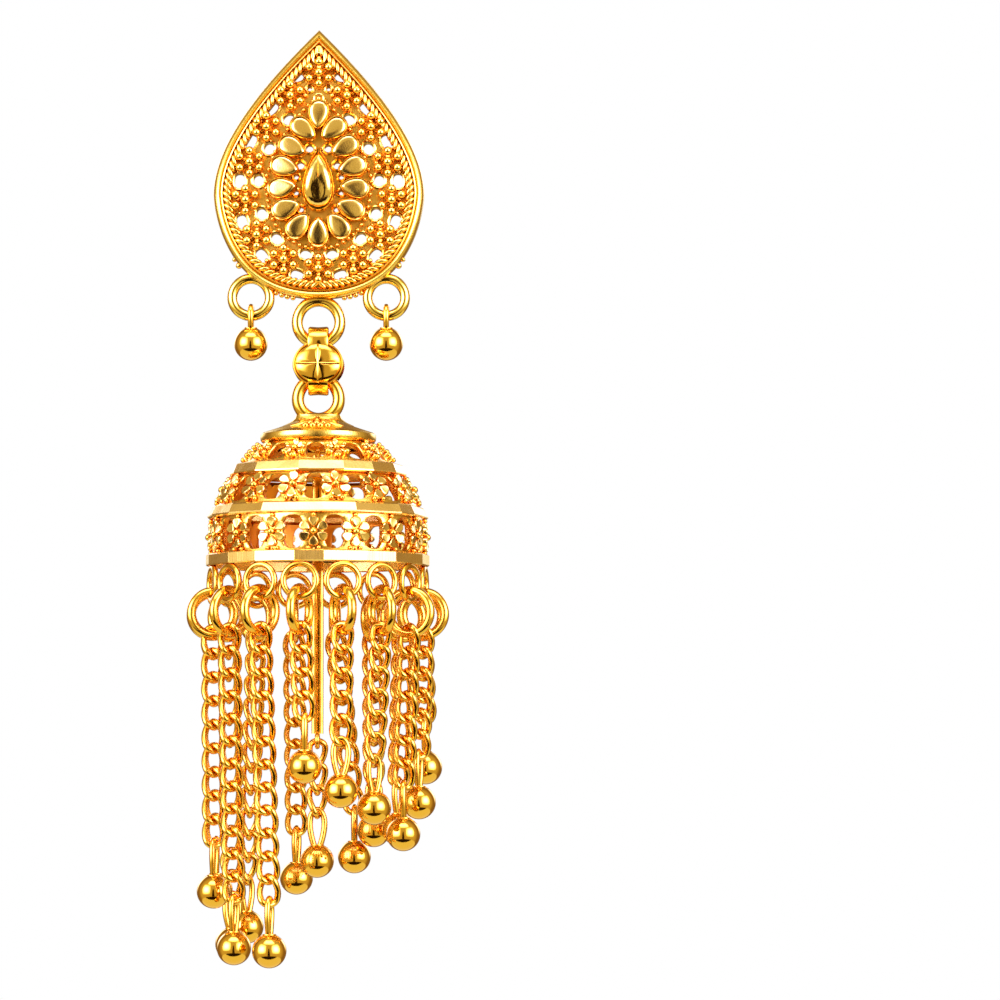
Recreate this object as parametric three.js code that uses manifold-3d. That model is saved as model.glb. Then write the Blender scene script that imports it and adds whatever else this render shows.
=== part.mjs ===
// A hanging jhumka earring in gold plated brass: a pierced teardrop stud, a connector,
// a pierced dome, and a tassel of chains that end in balls. Lengths are in millimetres.
// +Z is up, +X is to the right of a viewer, and the front faces -Y.
// The origin is on the back of the stud, where the ear post stands out along +Y.
import * as THREE from 'three';
import { mergeVertices } from 'three/addons/utils/BufferGeometryUtils.js';
import Module from 'manifold-3d';

const wasm = await Module();
wasm.setup();

// Stud plate, in plan: x to the right and y up. Heights are measured from the flat back.
const STUD_TIP = 13.73;
const STUD_FOOT = -10.53;
const STUD_HALF_WIDTH = 9.44;
const STUD_WIDEST_AT = -1.1;
const STUD_TIP_HANDLE = [4.15, 4.15];
const STUD_SIDE_HANDLE_UP = 4.94;
const STUD_SIDE_HANDLE_DOWN = 0.6;
const STUD_FOOT_HANDLE = 8.9;
const PLATE_HEIGHT = 1.1;
const STUD_CROWN = 0.35;
const BORDERS = [
  { from: 0, to: 0.66, height: 1.5 },
  { from: 0.82, to: 1.5, height: 1.55 },
];
const FLOWER_RING = { top: 9.87, side: 6.5, foot: -7.81, count: 14 };
const PETAL_RING = { top: 5.93, side: 3.3, foot: -4.68, count: 14 };
const STUD_FLOWER = { radius: 0.95, crown: 0.66, height: 1.7 };
const PETAL = { long: 1.05, wide: 0.66, height: 1.9 };
const CABOCHON = { tip: 2.88, foot: -2.75, half: 1.49, height: 2.45, narrowing: 0.42, curve: 1.5 };
const PETAL_TAPER = 0.85;
const OUTER_GAP = { offset: 0.78, long: 0.74, wide: 0.6, sides: 4 };
const INNER_GAP_RING = { top: 7.8, side: 5.4, foot: -6.7 };
const INNER_GAP = { long: 0.62, wide: 0.46, sides: 5 };
const TOP_GAPS = [
  { x: 1.65, y: 9.05, radius: 0.4 },
  { x: 0.84, y: 8.42, radius: 0.28 },
];
const HEART_GAPS = [
  { x: 0.75, y: 2.88, radius: 0.33 },
  { x: 1.65, y: 1.45, radius: 0.33 },
];

// One half of the teardrop that flowers, petals and gaps follow, as shares of its half
// width and of its height, from the tip down.
const TEARDROP = [
  { out: 0, down: 0 },
  { out: 0.42, down: 0.128 },
  { out: 0.73, down: 0.284 },
  { out: 0.95, down: 0.473 },
  { out: 1, down: 0.58 },
  { out: 0.86, down: 0.815 },
  { out: 0.47, down: 0.958 },
  { out: 0, down: 1 },
];

// Rings cast on the foot of the stud.
const SIDE_RING = { x: 6.06, z: -10.37, radius: 1.68, wire: 0.46 };
const MIDDLE_RING = { z: -12.6, radius: 1.91, wire: 0.52 };

// Ear post.
const POST_RADIUS = 0.45;
const POST_LENGTH = 10.5;

// Connector between the stud and the dome.
const PIVOT_Z = MIDDLE_RING.z - MIDDLE_RING.radius;
const BEAD_Z = -16.45;
const BEAD_HALF_WIDTH = 2.285;
const BEAD_HALF_HEIGHT = 2.025;
const BEAD_PROFILE = [
  { r: 0, y: -1.9 }, { r: 1.3, y: -1.76 }, { r: 1.95, y: -1.45 }, { r: BEAD_HALF_WIDTH, y: -1.02 },
  { r: BEAD_HALF_WIDTH, y: 1.02 }, { r: 1.95, y: 1.45 }, { r: 1.3, y: 1.76 }, { r: 0, y: 1.9 },
];
const STRAP_WIDTH = 1.7;
const STRAP_THICK = 0.47;
const TOP_CHANNEL = 1.02;
const FOOT_CHANNEL = 1.08;
const RIB_WIDTH = 0.34;
const RIB_SCALE = 1.07;
const SLOT_LENGTH = 3;
const BEYOND_BEAD = 6;

// Dome and its ring. The profile lists radius and height of the outside, then the inside.
const DOME_RING = { z: -19.49, radius: 1.83, wire: 0.57 };
const DOME_SIDES = 20;
const DOME_FOOT = -34.55;
const DOME_PROFILE = [
  { r: 0, z: -21.15 }, { r: 2.07, z: -21.33 }, { r: 5.18, z: -22.8 }, { r: 5.18, z: -23.35 },
  { r: 4.95, z: -23.5 }, { r: 6.75, z: -25.45 }, { r: 7.45, z: -25.6 }, { r: 7.92, z: -26.35 },
  { r: 7.5, z: -26.45 }, { r: 8.33, z: -27.6 }, { r: 9.0, z: -29.2 }, { r: 9.5, z: -29.35 },
  { r: 9.88, z: -30.15 }, { r: 9.5, z: -30.3 }, { r: 9.6, z: -31.9 }, { r: 9.52, z: -33.5 },
  { r: 9.97, z: -33.6 }, { r: 9.97, z: DOME_FOOT }, { r: 9.05, z: DOME_FOOT },
  { r: 8.85, z: -30.4 }, { r: 8.05, z: -28.2 }, { r: 6.7, z: -26.0 }, { r: 4.6, z: -24.1 },
  { r: 0, z: -22.6 },
];
const DOME_ROWS = [
  { count: 10, turn: 0.5, z: -24.5, r: 5.85, tilt: 43, flower: 1.1, gapWide: 0.6, gapHigh: 0.75 },
  { count: 14, turn: 0.5, z: -27.85, r: 8.4, tilt: 27, flower: 1.4, gapWide: 0.62, gapHigh: 1.1 },
  { count: 16, turn: 0, z: -31.9, r: 9.55, tilt: 0, flower: 1.5, gapWide: 0.62, gapHigh: 1.4 },
];
const FLOWER_PROUD = 0.5;
const CUTTER_LENGTH = 2.6;
const CEILING_EYE = { z: -23.15, radius: 0.95, wire: 0.3 };

// Tassel: loops on the dome's foot, jump rings, chains and balls.
const STRAND_STEP = 22.5;
const STRAND_FIRST = -7;
const LOOP = { ring: 9.54, z: -36.22, radius: 1.47, wire: 0.28 };
const JUMP = { radius: 1.905, wire: 0.42 };
const LINK_GAP = 0.1;
const JUMP_Z = LOOP.z - LOOP.radius + LOOP.wire + JUMP.wire + LINK_GAP - JUMP.radius;
const CHAIN = { radius: 0.95, endGap: 0.3 };
const BALL_RADIUS = 1.5;
const BAIL = { top: 4.8, foot: 0.9, half: 0.83, wire: 0.27, taper: 0.72, curve: 1.3 };
const SIDE_BAIL_TOP = 3.62;

// One row for each strand, from the front round to the right: where its ball hangs, how far
// its jump ring is turned from square to the dome, and how its bail is turned, in degrees.
const STRANDS = [
  { ballX: -0.71, ballZ: -52.42, turn: -16, bail: 90 },
  { ballX: 2.43, ballZ: -54.51, turn: 12, bail: 5 },
  { ballX: 5.27, ballZ: -55.99, turn: -8, bail: 40 },
  { ballX: 7.76, ballZ: -58.29, turn: 10, bail: 88 },
  { ballX: 9.06, ballZ: -55.51, turn: -6, bail: 75 },
  { ballX: 9.57, ballZ: -52.4, turn: 4, bail: 80 },
  { ballX: 7.06, ballZ: -57.91, turn: -10, bail: 60 },
  { ballX: 4.8, ballZ: -58.05, turn: 8, bail: 30 },
  { ballX: 3.0, ballZ: -60.44, turn: 14, bail: 88 },
  { ballX: -2.25, ballZ: -62.36, turn: -12, bail: 75 },
  { ballX: -6.63, ballZ: -66.73, turn: 6, bail: 50 },
  { ballX: -7.81, ballZ: -68.18, turn: -8, bail: 20 },
  { ballX: -9.05, ballZ: -63.25, turn: 5, bail: 100 },
  { ballX: -8.99, ballZ: -63.35, turn: -4, bail: 80 },
  { ballX: -6.99, ballZ: -68.2, turn: 10, bail: 70 },
  { ballX: -3.78, ballZ: -68.38, turn: -12, bail: 77 },
];

// Bar that hangs inside the dome, with its own short chain and ball.
const BAR = { foot: -50.8, halfWide: 0.53, halfDeep: 0.27, eye: 0.6, wire: 0.22 };
const CENTRE_BALL_Z = -60.69;

// Facets.
const LOOP_STEPS = 10;
const WIRE_SIDES = 5;
const BALL_STEPS = 10;
const BALL_ROWS = 4;
const BEAD_STEPS = 10;
const CHANNEL_SIDES = 8;
const TUBE_SIDES = 8;
const OUTLINE_STEPS = 6;

const GOLD = { color: 0xe9b23c, roughness: 0.16, metalness: 1 };
const BRIGHT_GOLD = { color: 0xf3c65a, roughness: 0.08, metalness: 1 };

// Everything that hangs lies in the plane of the stud's rings.
const group = new THREE.Group();
const hanging = new THREE.Group();
hanging.position.y = -PLATE_HEIGHT / 2;
group.add(hanging);

function radians(degrees) {
  return THREE.MathUtils.degToRad(degrees);
}

function solid(geometry) {
  const bare = geometry.clone();
  bare.deleteAttribute('normal');
  bare.deleteAttribute('uv');
  const merged = mergeVertices(bare, 1e-4);
  const corners = merged.index.array;
  const kept = [];
  for (let i = 0; i < corners.length; i += 3) {
    const [a, b, c] = corners.slice(i, i + 3);
    if (a !== b && b !== c && c !== a) kept.push(a, b, c);
  }
  return new wasm.Manifold(new wasm.Mesh({
    numProp: 3,
    vertProperties: new Float32Array(merged.attributes.position.array),
    triVerts: new Uint32Array(kept),
  }));
}

function join(geometries) {
  return geometries.map(solid).reduce((whole, piece) => whole.add(piece));
}

function cut(body, geometries) {
  return geometries.map(solid).reduce((whole, piece) => whole.subtract(piece), body);
}

function geometryOf(body) {
  const { vertProperties, triVerts } = body.getMesh();
  const geometry = new THREE.BufferGeometry();
  geometry.setAttribute('position', new THREE.BufferAttribute(vertProperties, 3));
  geometry.setIndex(new THREE.BufferAttribute(triVerts, 1));
  geometry.computeVertexNormals();
  return geometry;
}

function addPiece(parent, name, geometry, finish = GOLD) {
  const mesh = new THREE.Mesh(geometry, new THREE.MeshStandardMaterial(finish));
  mesh.name = name;
  parent.add(mesh);
  return mesh;
}

// A closed wire: every section of a torus is carried to its place on the path, and the
// first section lies at the top, where the angle is a right angle.
function wireLoop(path, wire) {
  const geometry = new THREE.TorusGeometry(1, wire, WIRE_SIDES, LOOP_STEPS);
  const spots = geometry.attributes.position;
  const middle = path(0).add(path(Math.PI)).multiplyScalar(0.5);
  for (let i = 0; i < spots.count; i += 1) {
    const angle = Math.atan2(spots.getY(i), spots.getX(i)) + Math.PI / 2;
    const outward = Math.hypot(spots.getX(i), spots.getY(i)) - 1;
    const centre = path(angle);
    const tangent = path(angle + 0.01).sub(path(angle - 0.01)).normalize();
    const normal = centre.clone().sub(middle);
    normal.addScaledVector(tangent, -normal.dot(tangent)).normalize();
    const side = normal.clone().cross(tangent);
    centre.addScaledVector(normal, outward).addScaledVector(side, spots.getZ(i));
    spots.setXYZ(i, centre.x, centre.y, centre.z);
  }
  return geometry;
}

// A round ring in the XZ plane.
function ring(radius, wire, x = 0, y = 0, z = 0) {
  const path = (angle) => new THREE.Vector3(
    x + radius * Math.cos(angle), y, z + radius * Math.sin(angle),
  );
  return wireLoop(path, wire);
}

function studHalf() {
  const shape = new THREE.Shape();
  shape.moveTo(0, STUD_TIP);
  shape.bezierCurveTo(
    -STUD_TIP_HANDLE[0], STUD_TIP - STUD_TIP_HANDLE[1],
    -STUD_HALF_WIDTH, STUD_WIDEST_AT + STUD_SIDE_HANDLE_UP,
    -STUD_HALF_WIDTH, STUD_WIDEST_AT,
  );
  shape.bezierCurveTo(
    -STUD_HALF_WIDTH, STUD_WIDEST_AT - STUD_SIDE_HANDLE_DOWN,
    -STUD_FOOT_HANDLE, STUD_FOOT,
    0, STUD_FOOT,
  );
  return shape.getPoints(OUTLINE_STEPS);
}

function studOutline() {
  const left = studHalf();
  const right = left.slice(1, -1).reverse().map((p) => new THREE.Vector2(-p.x, p.y));
  return [...left, ...right];
}

// Moves each side of a closed outline inward by the same distance.
function inset(outline, distance) {
  const count = outline.length;
  return outline.map((corner, i) => {
    const before = corner.clone().sub(outline[(i + count - 1) % count]).normalize();
    const after = outline[(i + 1) % count].clone().sub(corner).normalize();
    const inBefore = new THREE.Vector2(-before.y, before.x);
    const inAfter = new THREE.Vector2(-after.y, after.x);
    const way = inBefore.add(inAfter).normalize();
    return corner.clone().addScaledVector(way, distance / way.dot(inAfter));
  });
}

// Evenly spaced places on a smaller teardrop, starting at its top.
function teardropPlaces({ top, side, foot }, count, phase = 0) {
  const half = TEARDROP.map(({ out, down }) => new THREE.Vector3(
    side * out, THREE.MathUtils.lerp(top, foot, down), 0,
  ));
  const other = half.slice(1, -1).reverse().map((p) => new THREE.Vector3(-p.x, p.y, 0));
  const curve = new THREE.CatmullRomCurve3([...half, ...other], true);
  return Array.from({ length: count }, (_, i) => {
    const u = ((i + phase) / count) % 1;
    const point = curve.getPointAt(u);
    const tangent = curve.getTangentAt(u);
    return { x: point.x, y: point.y, turn: Math.atan2(tangent.y, tangent.x) };
  });
}

function ovalShape({ x, y, turn, long, wide, sides }) {
  const points = Array.from({ length: sides }, (_, i) => {
    const angle = (2 * Math.PI * i) / sides;
    const point = new THREE.Vector2(long * Math.cos(angle), wide * Math.sin(angle));
    return point.rotateAround(new THREE.Vector2(), turn).add(new THREE.Vector2(x, y));
  });
  return new THREE.Shape(points);
}

function studGaps() {
  const outer = teardropPlaces(FLOWER_RING, FLOWER_RING.count, 0.5).map(({ x, y, turn }) => ({
    x: x - Math.sin(turn) * OUTER_GAP.offset,
    y: y + Math.cos(turn) * OUTER_GAP.offset,
    turn,
    ...OUTER_GAP,
  }));
  const inner = teardropPlaces(INNER_GAP_RING, FLOWER_RING.count, 0.5).slice(1, -1)
    .map((place) => ({ ...place, ...INNER_GAP }));
  const round = [...TOP_GAPS, ...HEART_GAPS].flatMap(({ x, y, radius }) => [x, -x]
    .map((side) => ({ ...INNER_GAP, x: side, y, turn: 0, long: radius, wide: radius })));
  return [...outer, ...inner, ...round].map(ovalShape);
}

function raisedBand(outline, { from, to, height }) {
  const shape = new THREE.Shape(from > 0 ? inset(outline, from) : outline);
  shape.holes.push(new THREE.Path(inset(outline, to)));
  return new THREE.ExtrudeGeometry(shape, { depth: height, bevelEnabled: false });
}

function studFlower({ x, y, turn }) {
  const geometry = new THREE.CylinderGeometry(
    STUD_FLOWER.crown, STUD_FLOWER.radius, STUD_FLOWER.height, 6,
  );
  geometry.rotateX(Math.PI / 2).rotateZ(turn);
  return geometry.translate(x, y, STUD_FLOWER.height / 2);
}

function petal({ x, y, turn }) {
  const crest = PETAL.wide * PETAL_TAPER;
  const geometry = new THREE.CylinderGeometry(crest, PETAL.wide, PETAL.height, 6);
  geometry.rotateX(Math.PI / 2).scale(1, PETAL.long / PETAL.wide, 1).rotateZ(turn);
  return geometry.translate(x, y, PETAL.height / 2);
}

// A teardrop pillow: a sphere that narrows towards its upper end, flat underneath.
function cabochon() {
  const geometry = new THREE.SphereGeometry(1, 10, 6).rotateX(Math.PI / 2);
  const spots = geometry.attributes.position;
  const reach = (CABOCHON.tip - CABOCHON.foot) / 2;
  for (let i = 0; i < spots.count; i += 1) {
    const up = spots.getY(i);
    const narrow = 1 - CABOCHON.narrowing * Math.max(0, up) ** CABOCHON.curve;
    const height = PLATE_HEIGHT + spots.getZ(i) * (CABOCHON.height - PLATE_HEIGHT);
    spots.setXYZ(
      i, spots.getX(i) * CABOCHON.half * narrow,
      (CABOCHON.tip + CABOCHON.foot) / 2 + up * reach, Math.max(height, PLATE_HEIGHT / 2),
    );
  }
  return geometry;
}

// Lifts everything above the flat back towards the middle, so that the front is crowned.
function crown(geometry) {
  const spots = geometry.attributes.position;
  const middle = (STUD_TIP + STUD_FOOT) / 2;
  const reach = (STUD_TIP - STUD_FOOT) / 2;
  for (let i = 0; i < spots.count; i += 1) {
    const out = (spots.getX(i) / STUD_HALF_WIDTH) ** 2 + ((spots.getY(i) - middle) / reach) ** 2;
    spots.setZ(i, spots.getZ(i) * (1 + STUD_CROWN * Math.max(0, 1 - out)));
  }
  return geometry;
}

function buildStud() {
  const outline = studOutline();
  const plate = new THREE.ExtrudeGeometry(
    new THREE.Shape(outline), { depth: PLATE_HEIGHT, bevelEnabled: false },
  );
  const gaps = studGaps().map((gap) => new THREE.ExtrudeGeometry(
    gap, { depth: 2 * PLATE_HEIGHT, bevelEnabled: false },
  ).translate(0, 0, -PLATE_HEIGHT / 2));
  const relief = join([
    ...BORDERS.map((border) => raisedBand(outline, border)),
    ...teardropPlaces(FLOWER_RING, FLOWER_RING.count).map(studFlower),
    ...teardropPlaces(PETAL_RING, PETAL_RING.count).map(petal),
    cabochon(),
  ]);
  const face = crown(geometryOf(cut(solid(plate), gaps).add(relief))).rotateX(Math.PI / 2);
  const ringY = -PLATE_HEIGHT / 2;
  const whole = join([
    face,
    ring(SIDE_RING.radius, SIDE_RING.wire, SIDE_RING.x, ringY, SIDE_RING.z),
    ring(SIDE_RING.radius, SIDE_RING.wire, -SIDE_RING.x, ringY, SIDE_RING.z),
    ring(MIDDLE_RING.radius, MIDDLE_RING.wire, 0, ringY, MIDDLE_RING.z),
  ]);
  addPiece(group, 'stud', geometryOf(whole));
}

function buildPost() {
  const geometry = new THREE.CylinderGeometry(POST_RADIUS, POST_RADIUS, POST_LENGTH, 12);
  addPiece(group, 'ear_post', geometry).position.y = POST_LENGTH / 2;
}

// A ball with a pear shaped wire bail standing in its top, centred on the ball.
function ballDrop(bailTop) {
  const ball = new THREE.SphereGeometry(BALL_RADIUS, BALL_STEPS, BALL_ROWS)
    .rotateX(Math.PI / 2).rotateZ(Math.PI / BALL_STEPS);
  const crest = bailTop - BAIL.wire;
  const middle = (crest + BAIL.foot) / 2;
  const reach = (crest - BAIL.foot) / 2;
  const bail = wireLoop((angle) => {
    const fall = (1 - Math.sin(angle)) / 2;
    return new THREE.Vector3(
      BAIL.half * Math.cos(angle) * (1 - BAIL.taper * fall ** BAIL.curve), 0,
      middle + reach * Math.sin(angle),
    );
  }, BAIL.wire);
  return geometryOf(join([ball, bail]));
}

function buildSideDrops() {
  const hang = SIDE_RING.z - SIDE_RING.radius + SIDE_RING.wire + LINK_GAP;
  [['side_drop_left', -1], ['side_drop_right', 1]].forEach(([name, side]) => {
    const drop = addPiece(hanging, name, ballDrop(SIDE_BAIL_TOP), BRIGHT_GOLD);
    drop.position.set(side * SIDE_RING.x, 0, hang + 2 * BAIL.wire - SIDE_BAIL_TOP);
    drop.rotation.z = Math.PI / 2;
  });
}

// A round bar along X.
function barrel(radius, length) {
  return new THREE.CylinderGeometry(radius, radius, length, CHANNEL_SIDES).rotateZ(Math.PI / 2);
}

function bead(scale = 1) {
  const profile = BEAD_PROFILE.map(({ r, y }) => new THREE.Vector2(r, y));
  const geometry = new THREE.LatheGeometry(profile, BEAD_STEPS);
  geometry.scale(scale, scale, (scale * BEAD_HALF_HEIGHT) / BEAD_HALF_WIDTH);
  return geometry.translate(0, 0, BEAD_Z);
}

// The bead covers both rings from the front and the back, and its straps close over them.
function buildConnector() {
  const footZ = DOME_RING.z + DOME_RING.radius;
  const ends = [
    { z: PIVOT_Z, radius: TOP_CHANNEL, way: 1 },
    { z: footZ, radius: FOOT_CHANNEL, way: -1 },
  ];
  const ribs = join([
    new THREE.BoxGeometry(RIB_WIDTH, BEYOND_BEAD, BEYOND_BEAD),
    new THREE.BoxGeometry(BEYOND_BEAD, BEYOND_BEAD, RIB_WIDTH),
  ].map((bar) => bar.translate(0, -BEYOND_BEAD / 2, BEAD_Z))).intersect(solid(bead(RIB_SCALE)));
  const slots = ends.flatMap(({ z, radius, way }) => [
    barrel(radius, BEYOND_BEAD).translate(0, 0, z),
    new THREE.BoxGeometry(BEYOND_BEAD, 2 * radius, SLOT_LENGTH)
      .translate(0, 0, z + (way * SLOT_LENGTH) / 2),
  ]);
  const straps = ends.map(({ z, radius }) => cut(
    solid(barrel(radius + STRAP_THICK, STRAP_WIDTH).translate(0, 0, z)),
    [barrel(radius, BEYOND_BEAD).translate(0, 0, z)],
  ));
  const whole = straps.reduce(
    (body, strap) => body.add(strap), cut(solid(bead()).add(ribs), slots),
  );
  addPiece(hanging, 'connector', geometryOf(whole), BRIGHT_GOLD);
}

// Carries a piece made at the origin, facing -Y, out to a place on the dome.
function onDome(geometry, { angle, r, z, tilt = 0 }) {
  return geometry.rotateX(-radians(tilt)).translate(0, -r, z).rotateZ(angle);
}

function domeFlower(row, angle) {
  const geometry = new THREE.ConeGeometry(row.flower, 2 * FLOWER_PROUD, 6).rotateX(Math.PI);
  return onDome(geometry, { ...row, angle });
}

function domeGap(row, angle) {
  const geometry = new THREE.CylinderGeometry(1, 1, CUTTER_LENGTH, 4);
  geometry.scale(row.gapWide, 1, row.gapHigh);
  return onDome(geometry, { ...row, angle });
}

function strandAngle(k) {
  return radians(STRAND_FIRST + STRAND_STEP * k);
}

function buildDome() {
  const profile = DOME_PROFILE.map(({ r, z }) => new THREE.Vector2(r, z)).reverse();
  const shell = new THREE.LatheGeometry(profile, DOME_SIDES).rotateX(Math.PI / 2);
  const flowers = [];
  const gaps = [];
  DOME_ROWS.forEach((row) => {
    for (let i = 0; i < row.count; i += 1) {
      const angle = (2 * Math.PI * (i + row.turn)) / row.count;
      flowers.push(domeFlower(row, angle));
      gaps.push(domeGap(row, angle + Math.PI / row.count));
    }
  });
  const loops = STRANDS.map((_, k) => ring(LOOP.radius, LOOP.wire, 0, -LOOP.ring, LOOP.z)
    .rotateZ(strandAngle(k)));
  const topRing = ring(DOME_RING.radius, DOME_RING.wire, 0, 0, DOME_RING.z);
  const eye = ring(CEILING_EYE.radius, CEILING_EYE.wire, 0, 0, CEILING_EYE.z);
  const pierced = cut(solid(shell), gaps);
  const whole = pierced.add(join([...flowers, ...loops, topRing, eye]));
  addPiece(hanging, 'dome', geometryOf(whole));
}

// A straight stretch of chain as one plain tube, from below one hook to above the next.
function chainTube(from, to) {
  const corner = (_, i) => new THREE.Vector2(CHAIN.radius, 0)
    .rotateAround(new THREE.Vector2(), (2 * Math.PI * i) / TUBE_SIDES);
  const section = new THREE.Shape(Array.from({ length: TUBE_SIDES }, corner));
  return new THREE.ExtrudeGeometry(section, {
    steps: 1, extrudePath: new THREE.LineCurve3(from, to), bevelEnabled: false,
  });
}

function buildStrand(row, k) {
  const angle = strandAngle(k);
  const label = String(k + 1).padStart(2, '0');
  const x = LOOP.ring * Math.sin(angle);
  const y = -LOOP.ring * Math.cos(angle);

  const jump = addPiece(hanging, `jump_ring_${label}`, ring(JUMP.radius, JUMP.wire));
  jump.position.set(x, y, JUMP_Z);
  jump.rotation.z = angle + Math.PI / 2 + radians(row.turn);

  const drop = addPiece(hanging, `ball_drop_${label}`, ballDrop(BAIL.top), BRIGHT_GOLD);
  drop.position.set(row.ballX, y, row.ballZ);
  drop.rotation.z = radians(row.bail);

  const from = new THREE.Vector3(x, y, JUMP_Z - JUMP.radius - JUMP.wire - CHAIN.endGap);
  const to = new THREE.Vector3(row.ballX, y, row.ballZ + BAIL.top + CHAIN.endGap);
  addPiece(hanging, `chain_${label}`, chainTube(from, to));
}

// The bar has a small eye at each end: one holds the dome's own eye, one the short chain.
function buildCentre() {
  const topZ = CEILING_EYE.z - CEILING_EYE.radius + CEILING_EYE.wire + BAR.wire + LINK_GAP
    - BAR.eye;
  const footZ = BAR.foot + BAR.eye + BAR.wire;
  const upper = topZ - BAR.eye;
  const lower = footZ + BAR.eye;
  const rod = new THREE.CylinderGeometry(1, 1, upper - lower, 6).rotateX(Math.PI / 2);
  rod.scale(BAR.halfWide, BAR.halfDeep, 1).translate(0, 0, (upper + lower) / 2);
  const eyes = [topZ, footZ].map((z) => ring(BAR.eye, BAR.wire).rotateZ(Math.PI / 2)
    .translate(0, 0, z));
  addPiece(hanging, 'centre_bar', geometryOf(join([rod, ...eyes])));
  const from = new THREE.Vector3(0, 0, BAR.foot - CHAIN.endGap);
  const to = new THREE.Vector3(0, 0, CENTRE_BALL_Z + BAIL.top + CHAIN.endGap);
  addPiece(hanging, 'centre_chain', chainTube(from, to));
  const drop = addPiece(hanging, 'centre_ball_drop', ballDrop(BAIL.top), BRIGHT_GOLD);
  drop.position.z = CENTRE_BALL_Z;
}

buildStud();
buildPost();
buildSideDrops();
buildConnector();
buildDome();
STRANDS.forEach(buildStrand);
buildCentre();

export default group;
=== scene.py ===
import math
import random

import bmesh
import bpy
import numpy as np
from mathutils import Matrix, Vector
from mathutils.geometry import delaunay_2d_cdt


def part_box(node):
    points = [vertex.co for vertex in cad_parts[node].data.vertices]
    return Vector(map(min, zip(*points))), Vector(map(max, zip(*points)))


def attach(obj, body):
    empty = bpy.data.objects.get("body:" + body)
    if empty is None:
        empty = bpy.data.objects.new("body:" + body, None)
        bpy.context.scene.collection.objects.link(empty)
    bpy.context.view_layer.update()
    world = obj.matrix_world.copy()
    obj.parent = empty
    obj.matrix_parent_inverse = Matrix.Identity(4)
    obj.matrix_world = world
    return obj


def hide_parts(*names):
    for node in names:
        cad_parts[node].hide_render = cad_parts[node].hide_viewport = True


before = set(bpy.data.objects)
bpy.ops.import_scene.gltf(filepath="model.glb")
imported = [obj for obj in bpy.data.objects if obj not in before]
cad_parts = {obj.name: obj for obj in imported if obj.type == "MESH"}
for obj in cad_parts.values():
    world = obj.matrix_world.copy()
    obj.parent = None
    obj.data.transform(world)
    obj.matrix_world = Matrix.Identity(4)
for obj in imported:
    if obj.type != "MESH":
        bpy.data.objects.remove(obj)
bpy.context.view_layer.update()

# A jhumka earring in gold plated brass. Shapes are made in millimetres, with +Z up and the
# front facing -Y, and a piece is scaled to metres when it is finished.
MM = 0.001
HANG_Y = -0.55

# Stud, in plan: x to the right and z up, with heights measured from its flat back.
STUD_TIP = 13.73
STUD_FOOT = -10.53
STUD_HALF_WIDTH = 9.44
STUD_WIDEST_AT = -1.1
STUD_TIP_HANDLE = 4.15
STUD_SIDE_HANDLE_UP = 4.94
STUD_SIDE_HANDLE_DOWN = 0.6
STUD_FOOT_HANDLE = 8.9
STUD_CROWN = 0.35
PLATE = {"inset": 1.4, "height": 0.8, "bevel": 0.1}
RIM_PROFILE = [
    (0.0, 0.0), (0.0, 1.0), (0.06, 1.22), (0.2, 1.42), (0.34, 1.5), (0.46, 1.46), (0.54, 1.36),
    (0.6, 1.25), (0.65, 1.27), (0.72, 1.39), (0.8, 1.41), (0.88, 1.28), (0.95, 1.16),
    (1.42, 1.16), (1.52, 1.05), (1.52, 0.0),
]
ROPE = {"inner": 1.6, "outer": 0.88, "pitch": 0.54, "lean": 0.44, "radius": 0.21, "height": 1.28,
        "overlap": 0.06, "tall": 1.15}
STUD_FLOWERS = [(0, 9.8), (2.55, 7.71), (4.7, 4.87), (6.2, 1.71), (6.55, -1.7), (5.54, -4.85),
                (3.12, -7.05), (0, -7.87)]
FLOWER = {"count": 6, "reach": 1.0, "boss": 0.44, "granule": 0.41, "spoke": 0.22,
          "boss_up": 1.4, "granule_up": 1.3, "spoke_up": (0.95, 0.95, 0.92)}
PETAL_RING = {"top": 5.95, "side": 3.3, "foot": -4.68, "count": 14}
BEAD_RING = {"top": 7.42, "side": 4.72, "foot": -6.02, "count": 62}
TEARDROP = [(0, 0), (0.42, 0.128), (0.73, 0.284), (0.95, 0.473), (1, 0.58), (0.86, 0.815),
            (0.47, 0.958), (0, 1)]
# Each gap of the stud's right half: x, z, half lengths along and out of its ring, and how square.
GAPS = [
    (1.9, 9.45, 0.5, 0.38, 0.9), (4.27, 6.6, 0.66, 0.46, 0.75), (6.1, 3.65, 0.66, 0.46, 0.75),
    (7.1, 0.08, 0.66, 0.46, 0.75), (6.86, -3.6, 0.66, 0.46, 0.75), (5.07, -6.65, 0.66, 0.46, 0.75),
    (1.93, -8.4, 0.6, 0.42, 0.75), (2.7, 5.62, 0.54, 0.46, 0.95), (4.45, 2.98, 0.54, 0.46, 0.95),
    (5.4, 0.1, 0.54, 0.46, 0.95), (5.1, -2.9, 0.54, 0.46, 0.95), (3.76, -5.15, 0.54, 0.46, 0.95),
    (1.17, -6.55, 0.5, 0.42, 0.95), (0.84, 8.4, 0.2, 0.2, 1), (0.83, 2.98, 0.33, 0.33, 1),
    (1.65, 1.45, 0.33, 0.33, 1), (2.02, 0.42, 0.22, 0.22, 1), (2.02, -1.0, 0.22, 0.22, 1),
    (1.6, -2.5, 0.24, 0.24, 1),
]
GAP_LEAN = (1.6, 1)
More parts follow.
